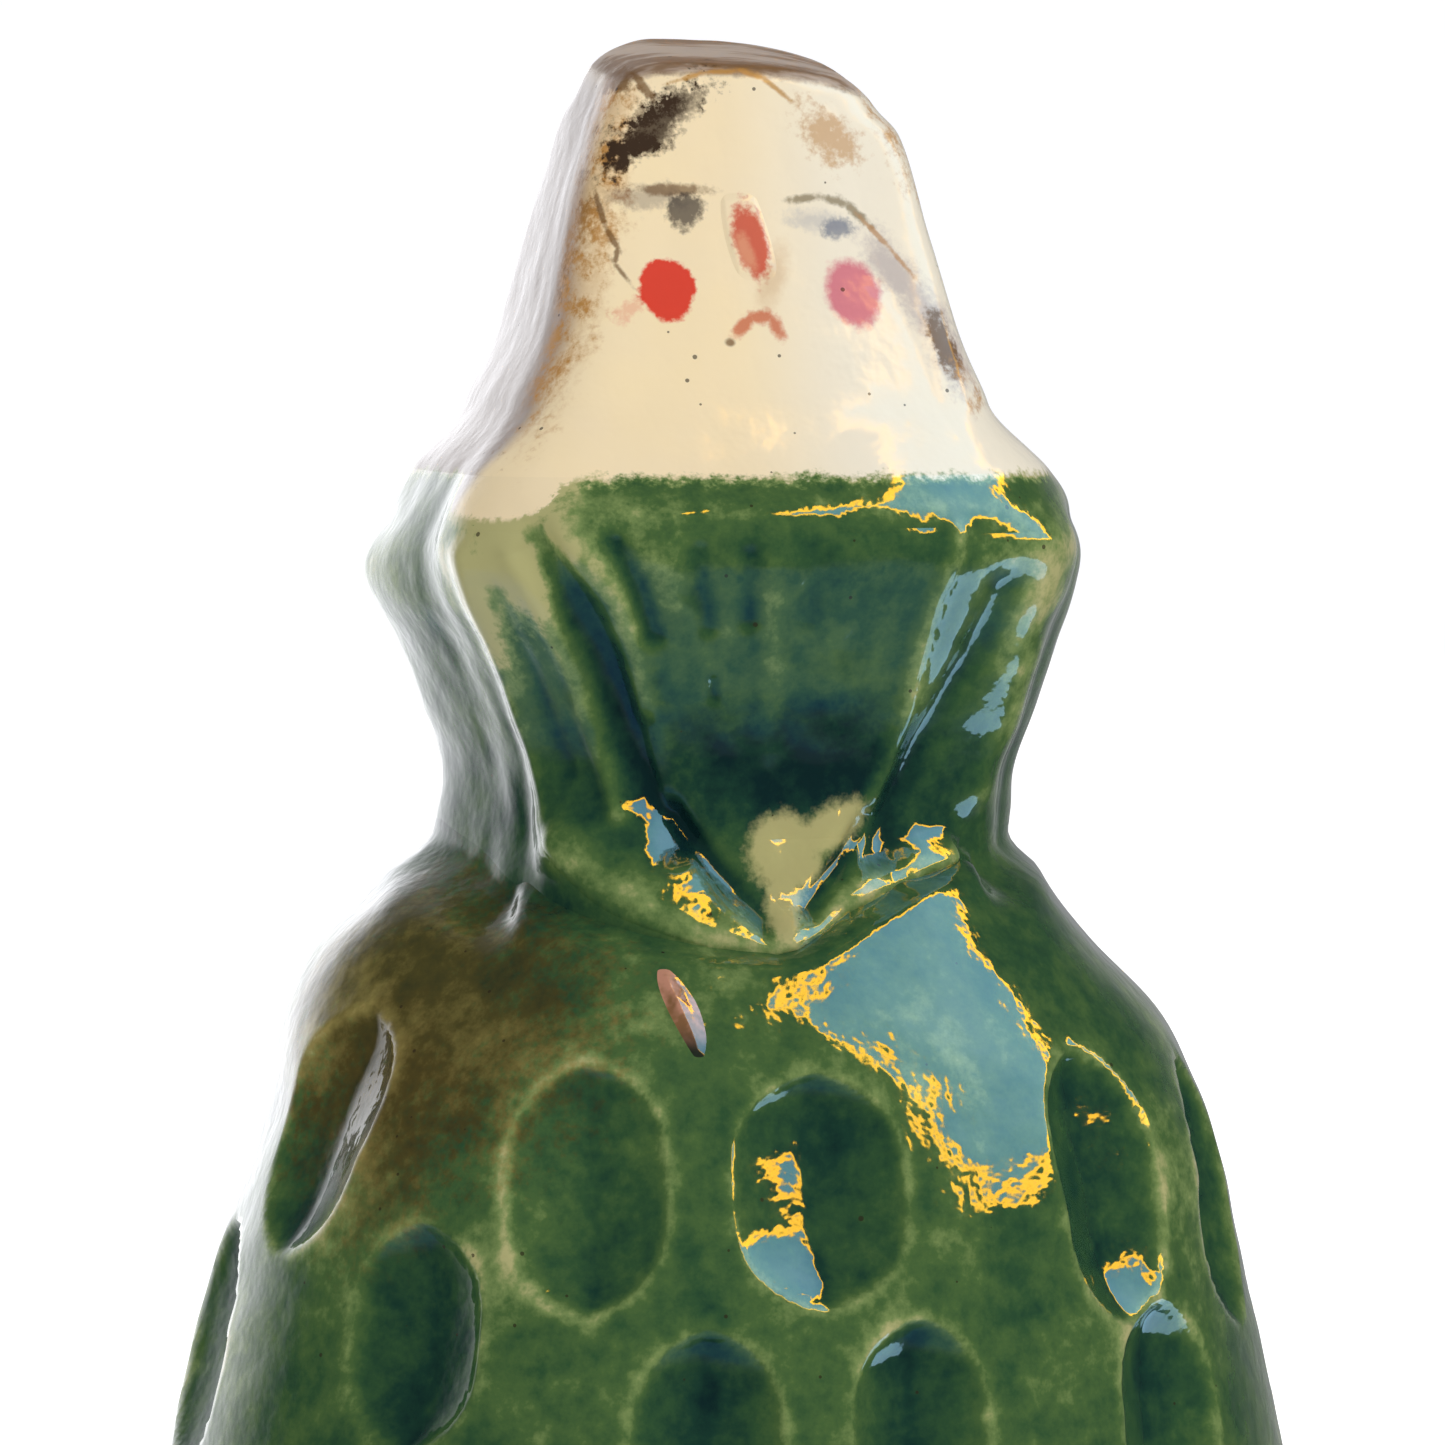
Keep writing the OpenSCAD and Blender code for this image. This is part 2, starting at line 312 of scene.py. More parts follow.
def section(side, z, flats, rows, hardness):
    """Distance from the axis to a wall of flats, with their edges rounded"""
    total = np.zeros_like(z)
    for column, flat in enumerate(flats, start=1):
        reach = smooth_lookup(z, rows, column)
        facing = np.cos(np.radians(away(side, flat)))
        total += np.where(facing > 0.0, np.maximum(facing, 0.0) / reach, 0.0) ** hardness
    return total ** (-1.0 / hardness)


def unevenness(side, z, size, seed):
    """Slow waves that a hand leaves in clay, from -1 to 1, about size millimetres apart"""
    turn = np.radians(side)
    spots = np.stack([12 * np.sin(turn), -12 * np.cos(turn), z], axis=-1)
    chance = np.random.default_rng(seed)
    waves = chance.normal(size=(14, 3)) * 2.4 / size
    return np.sin(spots @ waves.T + chance.uniform(0.0, 2 * math.pi, 14)).sum(axis=-1) / 5.0


def beside(side, z, path, reach=12.0):
    """Distance in millimetres from each point to a line on the clay through (direction, height) pairs"""
    nearest = np.full(np.shape(z), 1e3)
    for (side_a, z_a), (side_b, z_b) in zip(path, path[1:]):
        across = np.radians(away(side, side_a)) * reach
        run, rise = math.radians(side_b - side_a) * reach, z_b - z_a
        t = np.clip((across * run + (z - z_a) * rise) / (run * run + rise * rise), 0.0, 1.0)
        nearest = np.minimum(nearest, np.hypot(across - t * run, z - z_a - t * rise))
    return nearest


def sleeve(levels, around, closer=0.0):
    """Plain sleeve of radius 1: a profile of (radius, height) points, turned once round the axis.
    closer draws the columns together towards the front, where the carving is finest"""
    cut = bmesh.new()
    profile = [cut.verts.new((0.0, -radius, z)) for radius, z in levels]
    edges = [cut.edges.new(pair) for pair in zip(profile, profile[1:])]
    bmesh.ops.spin(cut, geom=profile + edges, cent=(0, 0, 0), axis=(0, 0, 1), dvec=(0, 0, 0),
                   angle=2 * math.pi, steps=around, use_merge=True, use_normal_flip=False,
                   use_duplicate=False)
    bmesh.ops.remove_doubles(cut, verts=cut.verts, dist=1e-5)
    for vert in cut.verts:
        turn = math.atan2(vert.co.x, -vert.co.y)
        turn -= closer * math.sin(turn)
        radius = math.hypot(vert.co.x, vert.co.y)
        vert.co.x, vert.co.y = math.sin(turn) * radius, -math.cos(turn) * radius
    return cut


def places(cut):
    return np.array([v.co for v in cut.verts])


def move_to(cut, points):
    for vert, point in zip(cut.verts, points):
        vert.co = point


def turned(points):
    """Direction of each point round the axis, in degrees from the middle of the front to +X"""
    return np.degrees(np.arctan2(points[:, 0], -points[:, 1]))


def around_axis(side, reach, z):
    turn = np.radians(side)
    return np.stack([np.sin(turn) * reach, -np.cos(turn) * reach, z], axis=1)


# How thickly the glaze lies: it runs off ridges and pools in hollows. A wall's shape is compared
# with the same shape softened, over a wide and over a narrow span.
class Pools:
    """Glaze thickness over one wall, from a function of direction and height"""
    SPANS = (("glaze_fine", 0.40, 0.07), ("glaze_broad", 2.2, 0.50))
    STEP = 0.2
    TURN_STEP = 0.5
    MOST = 1.6

    def __init__(self, wall, low, high, radius):
        self.low = low
        heights = np.arange(low, high, self.STEP)
        sides = np.arange(-180.0, 180.0, self.TURN_STEP)
        side, z = np.meshgrid(sides, heights)
        shape = wall(side, z)
        self.fields = {}
        for name, span, scale in self.SPANS:
            soft = self.soften(shape, span / self.STEP, 0, "edge")
            soft = self.soften(soft, span / (math.radians(self.TURN_STEP) * radius), 1, "wrap")
            self.fields[name] = np.clip((soft - shape) / scale, -self.MOST, self.MOST)

    @staticmethod
    def soften(shape, sigma, axis, ends):
        wide = int(3 * sigma) + 1
        weights = np.exp(-0.5 * (np.arange(-wide, wide + 1) / sigma) ** 2)
        pad = [(wide, wide) if k == axis else (0, 0) for k in (0, 1)]
        padded = np.pad(shape, pad, mode=ends)
        size = shape.shape[axis]
        total = sum(w * np.take(padded, range(k, k + size), axis=axis) for k, w in enumerate(weights))
        return total / weights.sum()

    def mark(self, mesh):
        points = np.empty(len(mesh.vertices) * 3)
        mesh.vertices.foreach_get("co", points)
        points = points.reshape(-1, 3) / MM
        column = (turned(points) + 180.0) / self.TURN_STEP
        for name, field in self.fields.items():
            row = np.clip((points[:, 2] - self.low) / self.STEP, 0, field.shape[0] - 1.001)
            i, j = row.astype(int), column.astype(int)
            s, t = row - i, column - j
            i2, j1, j2 = i + 1, j % field.shape[1], (j + 1) % field.shape[1]
            thickness = ((1 - s) * ((1 - t) * field[i, j1] + t * field[i, j2])
                         + s * ((1 - t) * field[i2, j1] + t * field[i2, j2]))
            attribute = mesh.attributes.new(name, "FLOAT", "POINT")
            attribute.data.foreach_set("value", thickness.astype(np.float32))


def to_metres(cut):
    bmesh.ops.recalc_face_normals(cut, faces=cut.faces)
    bmesh.ops.scale(cut, verts=cut.verts, vec=(MM, MM, MM))


def finished(name, cut, *nodes):
    """Piece of clay that stands for the named nodes"""
    piece = set_up(name, cut)
    piece.data.polygons.foreach_set("use_smooth", [True] * len(piece.data.polygons))
    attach(piece, "root")
    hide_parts(*nodes)
    return piece


def fired(name, cut, pools, *nodes):
    """Finished piece of clay in metres, which knows how thickly the glaze lies on it"""
    to_metres(cut)
    piece = finished(name, cut, *nodes)
    pools.mark(piece.data)
    return piece


# Robe: one hollow wall of coils, pressed oval and then scooped all round with a loop tool.
# Its top is tucked under the scarf, low in front and high on the shoulders.
ROBE_FLATS = (-90.0, -140.0, 180.0, 140.0, 79.0, 45.0, 24.0, 0.0, -45.0)
ROBE = (
    # z     left  b.left back  b.right right f.right chest front f.left
    (0.0, 27.6, 27.0, 23.6, 26.6, 27.6, 26.4, 26.0, 23.5, 26.6),
    (4.0, 28.0, 27.3, 24.0, 27.0, 28.0, 26.8, 26.4, 24.0, 27.0),
    (15.0, 27.4, 26.4, 23.2, 26.2, 27.6, 26.2, 25.6, 23.4, 26.2),
    (27.0, 25.2, 24.4, 21.4, 24.2, 26.0, 24.6, 23.6, 21.6, 24.4),
    (36.0, 22.8, 22.3, 19.6, 22.2, 23.9, 22.6, 22.2, 19.8, 22.3),
    (43.0, 20.35, 20.2, 17.4, 20.0, 21.55, 20.4, 18.9, 17.6, 19.8),
    (46.5, 19.75, 18.6, 16.0, 18.4, 19.6, 18.2, 17.2, 16.2, 17.8),
    (49.5, 18.4, 16.6, 14.4, 16.4, 16.6, 16.2, 15.1, 14.2, 15.6),
    (52.5, 15.3, 14.6, 12.9, 14.4, 14.4, 13.9, 12.8, 11.8, 13.2),
    (55.5, 13.0, 13.2, 12.0, 13.2, 13.2, 12.4, 10.9, 10.0, 11.4),
)
COLLAR = ((-180, 54.8), (-140, 54.8), (-100, 55.0), (-80, 54.0), (-62, 52.6), (-48, 51.5), (-36, 50.8),
          (-25, 50.3), (-12, 49.8), (0, 49.7), (8, 50.2), (20, 51.4), (33, 52.4), (46, 53.0),
          (60, 53.7), (74, 54.5), (90, 54.9), (120, 54.8))
SCOOPS = (
    # side, z, lean, width, height, depth
    (-69, 42.3, -6, 7.0, 10.6, 1.5), (-28.3, 40.7, 8, 6.9, 10.6, 1.5), (2.5, 40.5, 0, 7.8, 9.9, 1.6),
    (47.3, 39.8, 0, 6.6, 12.0, 1.6), (74, 38.7, -6, 6.2, 12.0, 1.5), (-88, 32.0, 8, 7.0, 11.5, 1.5),
    (-47.3, 34.2, 4, 6.6, 9.8, 1.5), (-12.6, 29.8, 2, 6.6, 10.0, 1.6), (14, 30.0, -2, 6.4, 10.0, 1.5),
    (52, 29.5, -5, 7.0, 10.4, 1.6),
    (111, 40.5, 0, 7.0, 11.0, 1.5), (153, 40.5, 3, 7.0, 11.0, 1.5), (-165, 40.5, -2, 7.0, 11.0, 1.5),
    (-123, 40.5, 2, 7.0, 11.0, 1.5), (93, 30.2, 3, 7.0, 11.0, 1.5), (135, 30.2, -3, 7.0, 11.0, 1.5),
    (177, 30.2, 2, 7.0, 11.0, 1.5), (-139, 30.2, -2, 7.0, 11.0, 1.5),
) + tuple((away(-20 + 40 * i, 0), 14.9, (i % 3 - 1) * 3, 7.0, 11.0, 1.5) for i in range(9))


def collar_height(side):
    """Where the scarf's lower edge crosses the robe"""
    return np.interp(side, [row[0] for row in COLLAR], [row[1] for row in COLLAR], period=360)


LEAF_ACROSS, LEAF_ALONG = 1.4, 3.2
BOWL_ROUND = 0.78
LIP_HEIGHT, LIP_WIDTH = 0.07, 0.10


def scooped(side, z, reach):
    """Depth of the hollows: each is a leaf with a round bottom and a crisp lip"""
    depth = np.zeros_like(z)
    for at, height, lean, width, length, deep in SCOOPS:
        along = np.radians(away(side, at)) * reach
        up = z - height
        lean = math.radians(lean)
        across = np.abs(along * math.cos(lean) + up * math.sin(lean)) / (width / 2)
        rise = (up * math.cos(lean) - along * math.sin(lean)) / (length / 2)
        inside = 1.0 - across ** LEAF_ACROSS - np.abs(rise) ** LEAF_ALONG
        bowl = deep * np.clip(inside, 0.0, 1.0) ** BOWL_ROUND
        lip = LIP_HEIGHT * np.exp(-((inside + LIP_WIDTH) / LIP_WIDTH) ** 2)
        near = np.abs(away(side, at)) < 60.0
        depth = np.where(near, np.maximum(depth, bowl) - lip * (depth < 0.05), depth)
    return depth


def robe_wall(side, z):
    """Outside of the robe, wavy from the hand and carved"""
    crisp = 8.0 + 7.0 * ease(z, 34.0, 46.0)
    plain = section(side, z, ROBE_FLATS, ROBE, crisp)
    wave = 0.18 * unevenness(side, z, 8.0, 1) + 0.04 * unevenness(side, z, 2.4, 2)
    return plain + wave - scooped(side, z, plain)


WALL_AROUND = 420
CLOSER_IN_FRONT = 0.3
ROBE_BOTTOM = 3.95
ROBE_TOP = 52.0
UNDER_SCARF = 0.8
robe_levels = [(1.0, float(z)) for z in np.linspace(ROBE_BOTTOM, ROBE_TOP, 165)]
robe_pools = Pools(robe_wall, 2.0, 56.0, 19.0)
robe_cut = sleeve(robe_levels, WALL_AROUND, CLOSER_IN_FRONT)
robe_plain = places(robe_cut)
robe_side = turned(robe_plain)
robe_level = robe_plain[:, 2]
robe_tuck = collar_height(robe_side) + UNDER_SCARF - ROBE_TOP
robe_z = robe_level + robe_tuck * ease(robe_level, 40.0, ROBE_TOP)

# Scarf and head: one wall of coils pressed into flats, with sharp edges at the jaw. The head is
# closed with a flat crown, and is set into the scarf's hollow at the jaw.
HEAD_FLATS = (-79.0, -140.0, 180.0, 140.0, 90.0, 54.0, 27.0, 0.0, -50.0)
HEAD = (
    # z    left  b.left  back  b.right right f.right strip front f.left
    (47.0, 13.4, 13.8, 12.2, 13.6, 13.8, 13.6, 13.4, 12.6, 13.6),
    (50.0, 13.4, 13.5, 12.0, 13.4, 13.7, 13.0, 12.4, 11.8, 13.2),
    (52.5, 12.7, 13.1, 11.5, 13.0, 13.9, 12.2, 11.2, 10.6, 12.1),
    (55.0, 12.3, 12.9, 11.3, 13.2, 14.6, 12.6, 10.4, 9.7, 11.3),
    (57.8, 12.0, 12.9, 11.4, 13.4, 14.8, 12.9, 10.8, 9.5, 11.3),
    (60.5, 13.0, 13.8, 11.8, 14.4, 16.1, 13.7, 11.8, 10.0, 12.2),
    (63.2, 13.95, 14.9, 12.4, 15.6, 16.7, 14.8, 12.9, 11.0, 13.6),
    (65.8, 15.3, 16.4, 12.9, 17.1, 17.2, 16.1, 14.1, 12.1, 15.2),
    (67.4, 15.3, 16.9, 13.1, 17.7, 17.1, 16.7, 14.6, 12.7, 15.9),
    (69.2, 14.3, 15.9, 12.8, 17.0, 16.2, 16.1, 14.5, 12.6, 15.8),
    (71.3, 13.0, 14.6, 11.9, 15.6, 14.5, 15.0, 13.8, 10.7, 15.0),
    (74.0, 11.9, 13.9, 10.7, 14.0, 12.8, 14.0, 13.4, 8.9, 13.3),
    (77.0, 10.1, 12.9, 9.4, 12.7, 11.1, 12.6, 12.4, 7.6, 11.3),
    (80.0, 9.1, 11.5, 8.0, 11.5, 10.2, 11.2, 11.6, 6.3, 10.2),
    (83.0, 8.25, 10.0, 6.6, 10.3, 9.2, 10.0, 10.6, 5.4, 9.3),
    (86.0, 7.2, 8.4, 5.6, 8.9, 8.3, 8.7, 9.6, 4.8, 8.3),
    (88.2, 6.45, 6.5, 5.1, 7.6, 7.2, 7.5, 8.6, 4.4, 7.6),
    (90.5, 5.5, 5.4, 4.5, 6.2, 5.6, 6.4, 7.6, 3.9, 6.7),
)
FOLDS = (
    # height, width and course of each fold of the cloth, as (direction, height) pairs
    # left band: its body, its two ridges, the groove between them and the deep one beside it
    (0.55, 2.2, ((-58, 69.5), (-53, 66), (-51, 62), (-49, 58.5), (-44, 55.5))),
    (0.28, 0.70, ((-57, 67.5), (-57, 63), (-56.5, 59.5), (-54.5, 56))),
    (0.45, 0.60, ((-45.5, 67.6), (-43.5, 66.2), (-41, 62.9), (-38.8, 59.2), (-35, 56.4))),
    (-0.25, 0.55, ((-51, 66), (-49.5, 62), (-47, 58))),
    (-0.62, 0.85, ((-42, 68.2), (-38, 66.2), (-34.5, 62.9), (-32, 59.5), (-29, 57), (-22, 55))),
    # bib: one strong fold, and faint pleats under the chin
    (0.42, 0.70, ((-38.5, 68.7), (-34, 67.1), (-30.5, 65.6), (-28.5, 63.4), (-28, 61.0))),
    (-0.34, 0.45, ((-30, 68.2), (-27, 66.5), (-25, 64.2))),
    (0.16, 0.60, ((-22, 68), (-20, 65.5))),
    (-0.22, 0.50, ((-15.5, 67.8), (-14, 64.5))),
    (-0.18, 0.50, ((-5.5, 67.6), (-5, 64.8))),
    (0.16, 0.80, ((-1, 67), (0.5, 63), (2, 59))),
    (-0.14, 0.60, ((8, 68), (8, 64.8))),
    (0.12, 0.90, ((15, 67.5), (14, 62))),
    (-0.16, 0.30, ((-13, 62.0), (-13, 61.4))),
    # right band: a crisp inner ridge, the valley beside it and the swell of the flank
    (0.30, 0.55, ((36, 68.4), (34, 65.4), (34.5, 62.8), (35, 60), (32.7, 57.8), (28.5, 55.8))),
    (-0.60, 1.00, ((49, 66), (47.5, 63), (44, 60.3), (40, 57.3), (32, 54.2))),
    (0.50, 1.5, ((56, 68.0), (57, 65.3), (60, 62.5), (62, 59.5), (60, 57))),
    # lower ends of both bands, and the creases beside the bare chest
    (1.0, 1.5, ((-48, 54.8), (-37, 53.5), (-25, 52.4), (-12, 51.2), (-1, 50.5))),
    (0.85, 0.95, ((50, 54.0), (32, 53.4), (17, 52.3), (5, 50.9))),
    (-0.45, 0.55, ((-23, 56.2), (-13, 53.8), (-1.5, 51.6))),
    (-0.40, 0.50, ((29, 55.9), (20, 54.1), (9, 52.0))),
    (0.35, 1.4, ((3, 54.6), (10, 55.0), (18, 55.4))),
)
HEAD_JOINT = 71.0
HEAD_BOTTOM = 47.5
HEAD_TOP = 89.6
CROWN_LEAN = (-0.03, 0.17)
CROWN_ROUND = 0.8
# the crown falls away past these places in x, faster on the left
CROWN_LEFT, CROWN_LEFT_FALL = -2.4, 0.070
CROWN_RIGHT, CROWN_RIGHT_FALL = 0.0, 0.026
# the scarf's lower edge is loose in front, and worked flush past these directions
LOOSE_TO, FLUSH_FROM = 48.0, 62.0
EDGE_DEPTH = 1.3


def head_wall(side, z):
    """Outside of the scarf and the head, with the folds of the cloth"""
    level = np.minimum(z, 90.4)
    crisp = 10.0 + 8.0 * ease(z, 71.5, 74.5)
    crisp = crisp - 3.5 * ease(np.abs(side), 62.0, 78.0) * ease(z, 70.5, 68.5)
    flats = (HEAD_FLATS[0] - 7.0 * ease(z, 66.0, 69.5),) + HEAD_FLATS[1:]
    reach = section(side, level, flats, HEAD, crisp)
    # the face is a little round across
    from_middle = np.radians(np.clip(away(side, -4.0), -50, 50)) * reach
    reach = reach - 0.011 * from_middle ** 2 * ease(z, 71.0, 74.0)
    for lift, width, path in FOLDS:
        reach = reach + lift * np.exp(-(beside(side, z, path) / width) ** 2)
    wave = 0.15 * unevenness(side, z, 6.0, 3) + 0.035 * unevenness(side, z, 1.8, 4)
    return reach + wave * (1.0 - 0.55 * ease(z, 71.0, 73.0))


def scarf_wall(side, z):
    """The scarf's wall: its lower edge is rolled in over the chest, and worked flush at the sides"""
    loose = 1.0 - ease(np.abs(side), LOOSE_TO, FLUSH_FROM)
    below = collar_height(side) - z
    under = ease(below, -0.55, 0.25) * loose + ease(below, 0.4, 1.2) * (1 - loose)
    inside = np.minimum(head_wall(side, z), robe_wall(side, np.minimum(z, 55.5))) - EDGE_DEPTH
    return head_wall(side, z) * (1 - under) + inside * under


# The robe's top, tucked under the scarf in front and blended into it at the sides.
flush_side = ease(np.abs(robe_side), LOOSE_TO, FLUSH_FROM)
robe_below = collar_height(robe_side) - robe_z
robe_reach = robe_wall(robe_side, robe_z)
meeting = ease(robe_below, 2.2, 0.1) * flush_side
robe_reach = robe_reach * (1 - meeting) + (head_wall(robe_side, robe_z) + 0.03) * meeting
robe_reach -= (1.2 - 1.09 * flush_side) * ease(robe_below, 0.0, -0.8)
move_to(robe_cut, around_axis(robe_side, robe_reach, robe_z))
robe = fired("robe", robe_cut, robe_pools, "robe_shell")


def head_levels():
    walls = [(1.0, float(z)) for z in np.linspace(HEAD_BOTTOM, HEAD_TOP - CROWN_ROUND, 170)]
    edge = [(1.0 - CROWN_ROUND / 5 * (1 - math.cos(t)), HEAD_TOP - CROWN_ROUND + CROWN_ROUND * math.sin(t))
            for t in np.linspace(0.0, math.pi / 2, 8)[1:]]
    crown = [(float(r), HEAD_TOP) for r in np.linspace(edge[-1][0], 0.0, 26)[1:]]
    return walls + edge + crown


head_pools = Pools(head_wall, 46.0, 92.0, 12.5)
head_cut = sleeve(head_levels(), WALL_AROUND, CLOSER_IN_FRONT)
head_plain = places(head_cut)
head_side = turned(head_plain)
head_share = np.hypot(head_plain[:, 0], head_plain[:, 1])
head_z = head_plain[:, 2].copy()
head_reach = np.where(head_z < 57.0, scarf_wall(head_side, head_z), head_wall(head_side, head_z))
head_points = around_axis(head_side, head_reach * head_share, head_z)
head_points[:, 2] += ease(head_z, 84.0, HEAD_TOP) * (head_points[:, :2] @ CROWN_LEAN)
falling = (CROWN_LEFT_FALL * np.maximum(CROWN_LEFT - head_points[:, 0], 0) ** 2
           + CROWN_RIGHT_FALL * np.maximum(head_points[:, 0] - CROWN_RIGHT, 0) ** 2)
head_points[:, 2] -= ease(head_z, 86.0, HEAD_TOP) * np.minimum(falling, 1.6)
move_to(head_cut, head_points)
to_metres(head_cut)
head_and_scarf = bpy.data.meshes.new("head_and_scarf")
head_cut.to_mesh(head_and_scarf)
head_cut.free()
head_pools.mark(head_and_scarf)


def half(name, above, *nodes):
    """The part of the wall above or below the joint at the jaw"""
    cut = bmesh.new()
    cut.from_mesh(head_and_scarf)
    spare = [f for f in cut.faces if (f.calc_center_median().z > HEAD_JOINT * MM) != above]
    bmesh.ops.delete(cut, geom=spare, context="FACES")
    return finished(name, cut, *nodes)


hood = half("hood", False, "hood_shell")
head = half("head", True, "head_block")


# Cloth and chest: thin pieces of clay pressed on the front, their edges smoothed into the wall.
# Each shares the wall's folds, so that only the creases show where one piece ends.
def pad(name, rows, across, along, lift, node, base=scarf_wall, pools=head_pools):
    """rows: (height, left edge, right edge) in mm and degrees. lift gives the height over the
    wall from u, across from -1 to 1, and v, along from 0 to 1"""
    cut = bmesh.new()
    bmesh.ops.create_grid(cut, x_segments=across, y_segments=along, size=1.0)
    raised = bmesh.ops.extrude_face_region(cut, geom=cut.faces[:], use_keep_orig=True)
    top = [v for v in raised["geom"] if isinstance(v, bmesh.types.BMVert)]
    bmesh.ops.translate(cut, verts=top, vec=(0.0, 0.0, 1.0))
    plain = places(cut)
    u, v, upper = plain[:, 0], (plain[:, 1] + 1) / 2, plain[:, 2]
    table = [(i / (len(rows) - 1), *row) for i, row in enumerate(rows)]
    z = smooth_lookup(v, table, 1)
    left = smooth_lookup(v, table, 2)
    right = smooth_lookup(v, table, 3)
    side = left + (right - left) * (u + 1) / 2
    rim = np.minimum((1 - np.abs(u)) * np.radians(right - left) * 6,
                     np.minimum(v, 1 - v) * abs(z[-1] - z[0]))
    edge = ease(rim, 0.0, 1.0)
    reach = base(side, z) + np.where(upper > 0.5, (lift(u, v) + 0.05) * edge - 0.04 * (1 - edge), -0.7)
    move_to(cut, around_axis(side, reach, z))
    return fired(name, cut, pools, node)


def flush(u, v):
    return 0.0 * u


def dome(u, v):
    """1 in the middle of an oval, and just below 0 outside it"""
    return np.sqrt(np.clip(1.0 - u ** 2 - (2 * v - 1) ** 2, 0.0, 1.0)) - 0.3


bib = pad(
    "bib", ((54.2, -20, 26), (58.0, -31, 31), (61.0, -33, 33), (64.0, -36, 33), (67.0, -40, 34),
            (69.0, -42, 36)),
    150, 110, flush, "bib")
band_left = pad(
    "scarf_band_left", ((50.3, -12, 1), (51.2, -26, -1), (52.4, -40, -7), (54.5, -52, -16),
                        (57.0, -58, -28), (60.5, -61, -33), (64.0, -61, -36), (67.0, -60, -40),
                        (69.0, -58, -44)),
    110, 150, flush, "scarf_band_left")
band_right = pad(
    "scarf_band_right", ((50.6, 3, 10), (51.8, 8, 32), (53.2, 15, 52), (55.6, 28, 62),
                         (58.5, 32, 64), (62.0, 33, 62), (65.5, 33, 60), (69.0, 37, 58)),
    110, 150, flush, "scarf_band_right")
chest = pad(
    "chest_tab", ((51.2, 4, 9), (52.2, 0, 14), (53.4, -4, 20), (54.6, -8, 25), (55.6, -9, 28)),
    60, 50, flush, "chest_tab")
tail = pad(
    "scarf_tail", ((45.9, -16.0, -12.2), (47.1, -18.2, -12.4), (48.3, -20.8, -14.0),
                   (49.2, -22.6, -16.4), (50.0, -23.8, -19.2)),
    40, 50, lambda u, v: 0.72 * dome(u, v), "scarf_tail", robe_wall, robe_pools)
nose = pad(
    "nose", ((79.1, -7, 14), (80.2, -9, 13), (81.5, -12, 11), (82.8, -14, 8), (83.5, -14, 7)),
    40, 60, lambda u, v: 0.26 * dome(u, v), "nose")

# Foot: a slab cut to the robe's outline, bevelled round its underside, with the kiln's vent hole.
VENT_RADIUS = 4.0
slab_vent = [(0.145, 3.9), (0.145, 0.0)]
slab_under = [(float(r), 0.0) for r in np.linspace(0.2, 0.965, 12)]
slab_bevel = [(1.0 - 0.03 * (1 - math.sin(t)), 0.8 * (1 - math.cos(t)))
              for t in np.linspace(0.25, math.pi / 2, 6)]
slab_side_and_top = [(1.0, 2.4), (1.0, 4.02), (0.9, 4.02)]
slab_cut = sleeve(slab_vent + slab_under + slab_bevel + slab_side_and_top, 256)
slab_plain = places(slab_cut)
slab_side = turned(slab_plain)
slab_share = np.hypot(slab_plain[:, 0], slab_plain[:, 1])
slab_reach = section(slab_side, np.maximum(slab_plain[:, 2], 0.2), ROBE_FLATS, ROBE, 8.0) * slab_share
slab_reach = np.where(slab_share < 0.2, VENT_RADIUS, slab_reach)
move_to(slab_cut, around_axis(slab_side, slab_reach, slab_plain[:, 2]))
slab = fired("foot_slab", slab_cut, robe_pools, "base_slab")


